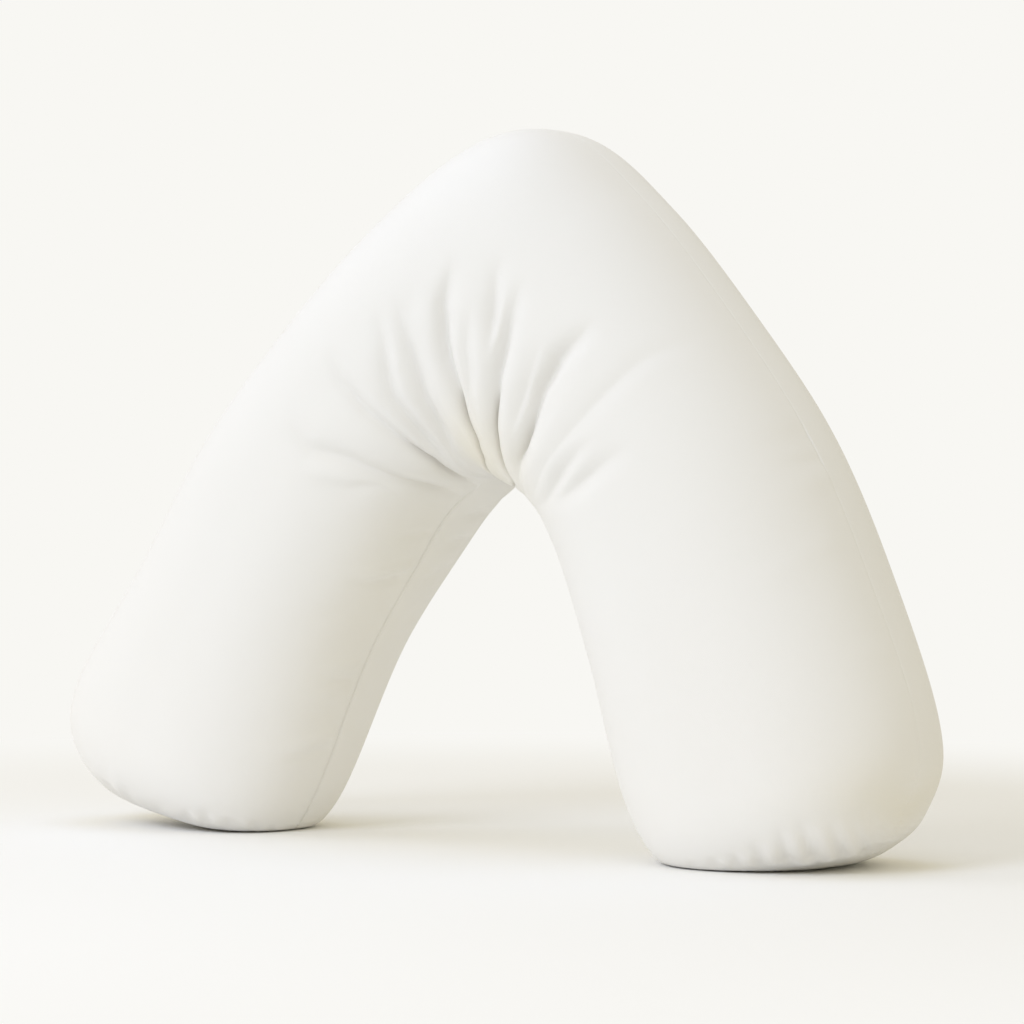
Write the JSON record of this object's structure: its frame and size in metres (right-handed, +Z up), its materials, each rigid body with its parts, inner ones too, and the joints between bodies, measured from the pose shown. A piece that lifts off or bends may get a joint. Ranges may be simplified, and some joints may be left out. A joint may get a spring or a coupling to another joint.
{
  "type": "v shaped pillow",
  "caption": "Stuffed V-shaped support pillow in plain white cotton, standing on the ends of its two arms with creases fanning out from the inside of the bend.",
  "frame": {"origin": "on the floor under the middle of the pillow's box", "axes": "+X from the left foot to the right foot, seen from the front; +Y through the thickness from the front to the back; +Z up"},
  "size_m": [0.8918, 0.2352, 0.6221],
  "materials": {
    "cotton": "matt"
  },
  "bodies": {
    "root": {"pillow": "cotton"}
  },
  "joints": []
}
